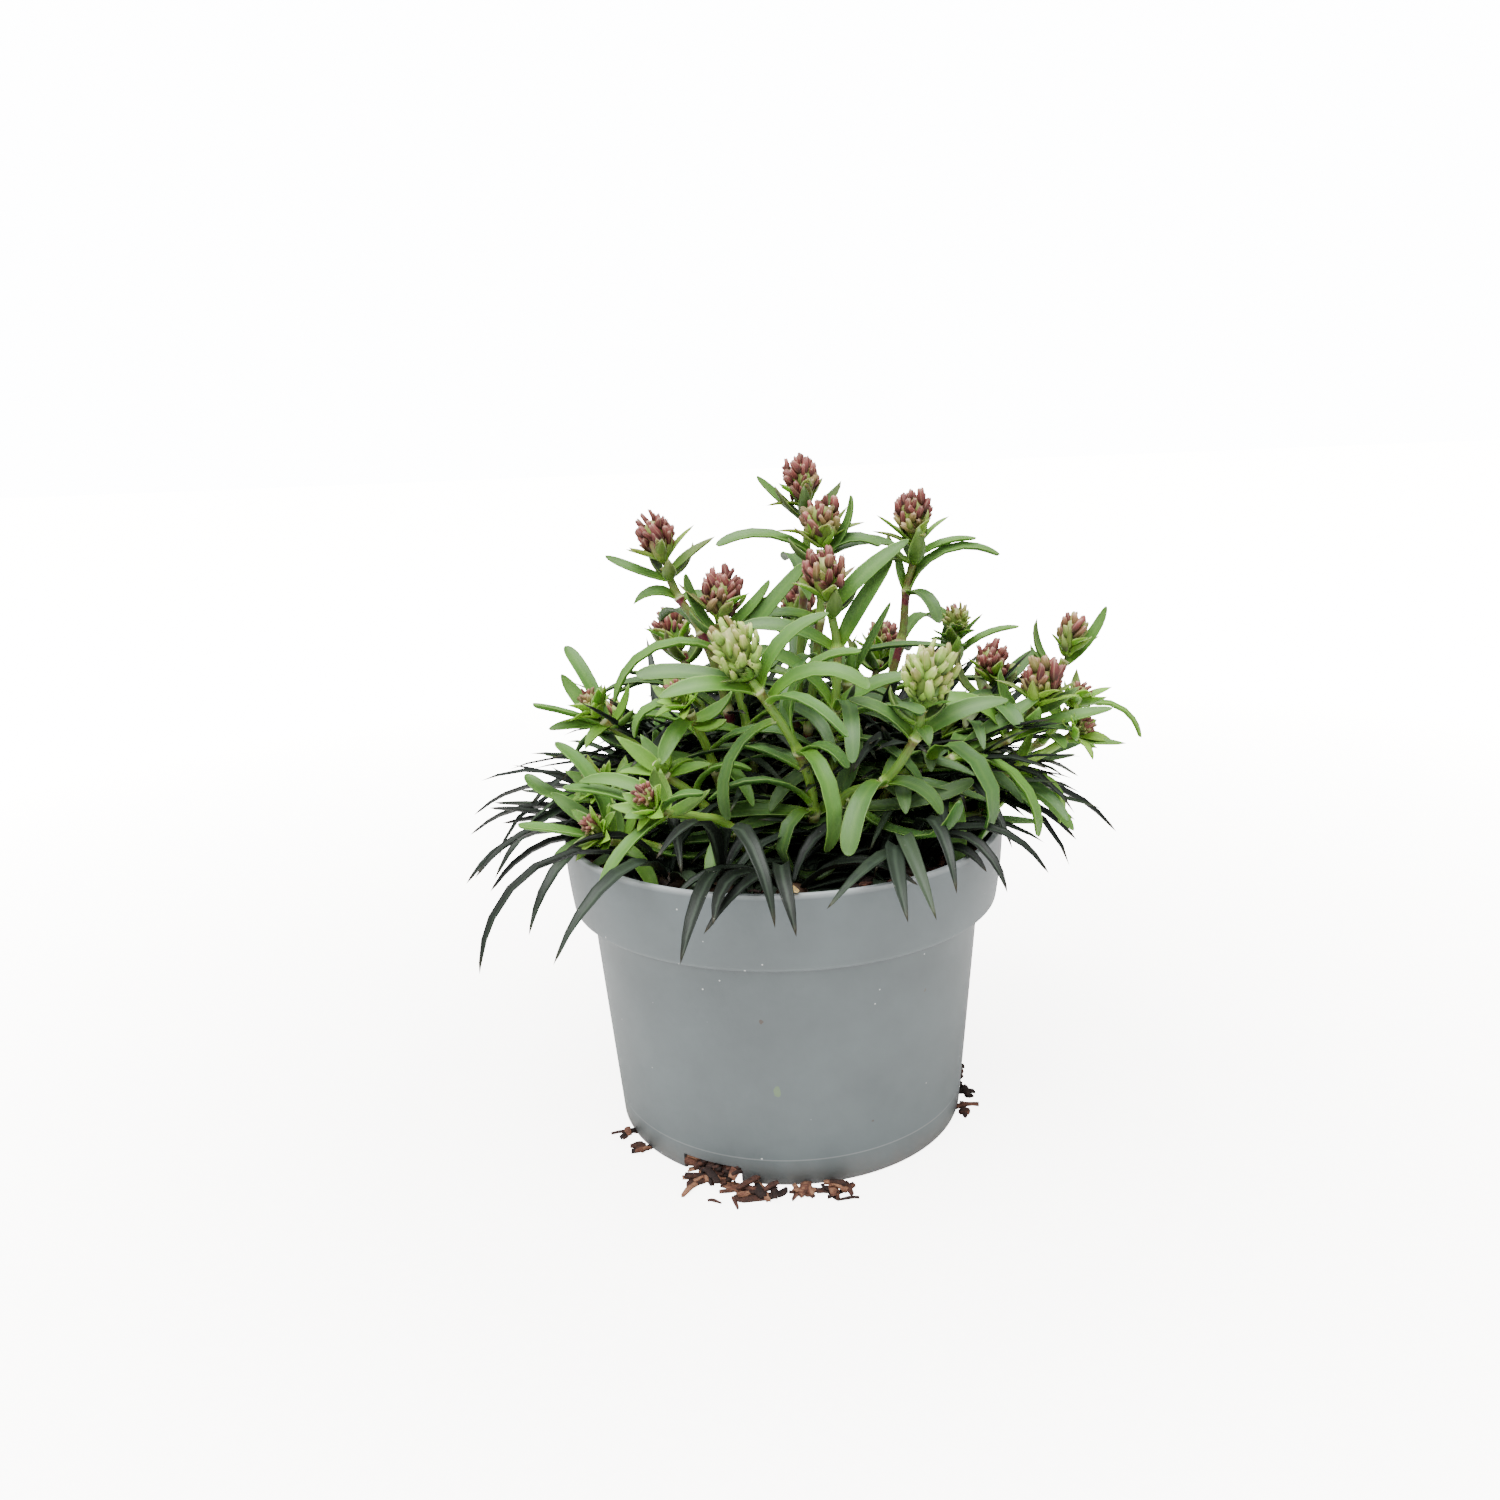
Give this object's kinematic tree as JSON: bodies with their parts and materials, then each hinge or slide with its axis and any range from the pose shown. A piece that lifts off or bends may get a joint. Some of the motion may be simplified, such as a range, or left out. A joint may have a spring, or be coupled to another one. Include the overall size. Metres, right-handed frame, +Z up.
{
  "type": "potted alpine catchfly",
  "caption": "Potted alpine catchfly: leafy green stems with tight bud heads rising from a cushion of narrow blackish leaves, in a round nursery pot with a deep collar",
  "frame": {"origin": "the middle of the pot's underside, on the surface that it stands on", "axes": "+Z is up, -Y is the side that the picture shows, +X is to its right"},
  "size_m": [0.2061, 0.1923, 0.1972],
  "materials": {
    "pot_plastic": "satin moulded grey plastic",
    "bark_compost": "damp shredded bark",
    "green_shoot": "fleshy green stems and leaves",
    "bud_head": "papery rose-brown buds",
    "dark_leaf": "glossy blackish green blades"
  },
  "bodies": {
    "root": {"crown_back": "dark_leaf", "crown_back_left": "dark_leaf", "crown_back_right": "dark_leaf", "crown_front": "dark_leaf", "crown_front_left": "dark_leaf", "crown_front_mid": "dark_leaf", "crown_front_right": "dark_leaf", "crown_left": "dark_leaf", "crown_left_low": "dark_leaf", "crown_right": "dark_leaf", "head_back_centre": "bud_head", "head_back_left": "bud_head", "head_back_low": "bud_head", "head_back_low_left": "bud_head", "head_back_right": "bud_head", "head_centre": "bud_head", "head_front_left": "bud_head", "head_front_low": "bud_head", "head_front_right": "bud_head", "head_left_centre": "bud_head", "head_left_high": "bud_head", "head_left_low": "bud_head", "head_left_rim": "bud_head", "head_left_tall": "bud_head", "head_right_arm": "bud_head", "head_right_edge": "bud_head", "head_right_high": "bud_head", "head_right_ruby": "bud_head", "head_right_tall": "bud_head", "head_summit": "bud_head", "head_upper": "bud_head", "pot": "pot_plastic", "soil": "bark_compost", "stem_back_centre": "green_shoot", "stem_back_left": "green_shoot", "stem_back_low": "green_shoot", "stem_back_low_left": "green_shoot", "stem_back_right": "green_shoot", "stem_centre": "green_shoot", "stem_centre_slim": "green_shoot", "stem_far_right": "green_shoot", "stem_front_left": "green_shoot", "stem_front_low": "green_shoot", "stem_front_right": "green_shoot", "stem_left_centre": "green_shoot", "stem_left_high": "green_shoot", "stem_left_leafy": "green_shoot", "stem_left_low": "green_shoot", "stem_left_mid": "green_shoot", "stem_left_rim": "green_shoot", "stem_left_tall": "green_shoot", "stem_right_arm": "green_shoot", "stem_right_edge": "green_shoot", "stem_right_high": "green_shoot", "stem_right_low": "green_shoot", "stem_right_rim": "green_shoot", "stem_right_ruby": "green_shoot", "stem_right_tall": "green_shoot", "stem_summit": "green_shoot", "stem_upper": "green_shoot"}
  },
  "joints": []
}
